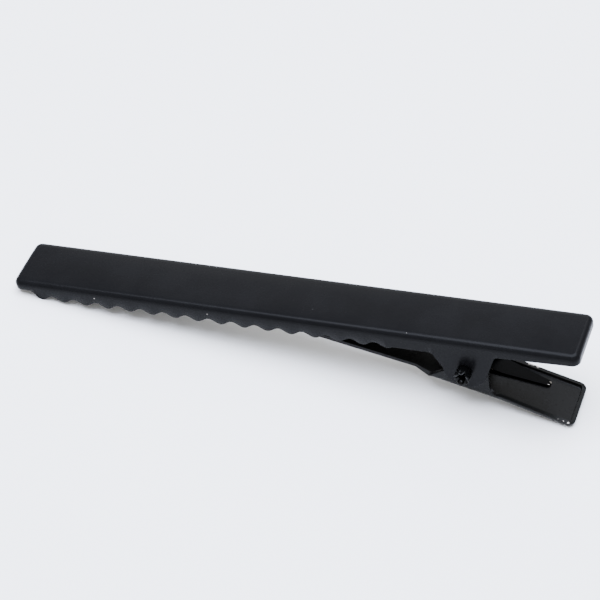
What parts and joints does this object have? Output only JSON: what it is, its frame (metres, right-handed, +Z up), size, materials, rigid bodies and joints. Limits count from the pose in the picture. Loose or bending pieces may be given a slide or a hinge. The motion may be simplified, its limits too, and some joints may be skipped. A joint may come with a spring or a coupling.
{
  "type": "sectioning clip",
  "caption": "Flat spring clip for sectioning hair: toothed top plate and lower jaw with a thumb tray, hinged on a hollow rivet and closed by a leaf spring.",
  "frame": {"origin": "middle of the bottom of the closed clip's box, on the surface it lies on", "axes": "+X from the jaw's tip towards the thumb handle, +Y across the clip along the pin towards its closed head, +Z up; the clip lies on its first teeth and the heel of its thumb tray, so its top plate slopes up towards the handle"},
  "size_m": [0.0745, 0.01, 0.0131],
  "materials": {
    "plate_lacquer": "satin black baked lacquer on stamped steel",
    "jaw_lacquer": "satin black baked lacquer on stamped steel",
    "spring_steel": "black tempered spring steel",
    "rivet_steel": "black lacquered rivet with bare worn lip"
  },
  "bodies": {
    "top_plate": {"upper_jaw": "plate_lacquer", "pivot_pin": "rivet_steel", "leaf_spring": "spring_steel"},
    "jaw_lever": {"lower_jaw": "jaw_lacquer"}
  },
  "joints": [
    {"name": "jaw_hinge", "type": "hinge", "parent": "top_plate", "child": "jaw_lever", "pos_m": [0.02344, 0.00057, 0.00632], "axis": [0, -1, 0], "range_deg": [0, 40], "stiffness_Nm_per_rad": 0.07, "springref_deg": -25.78, "deforming": ["leaf_spring"]}
  ]
}
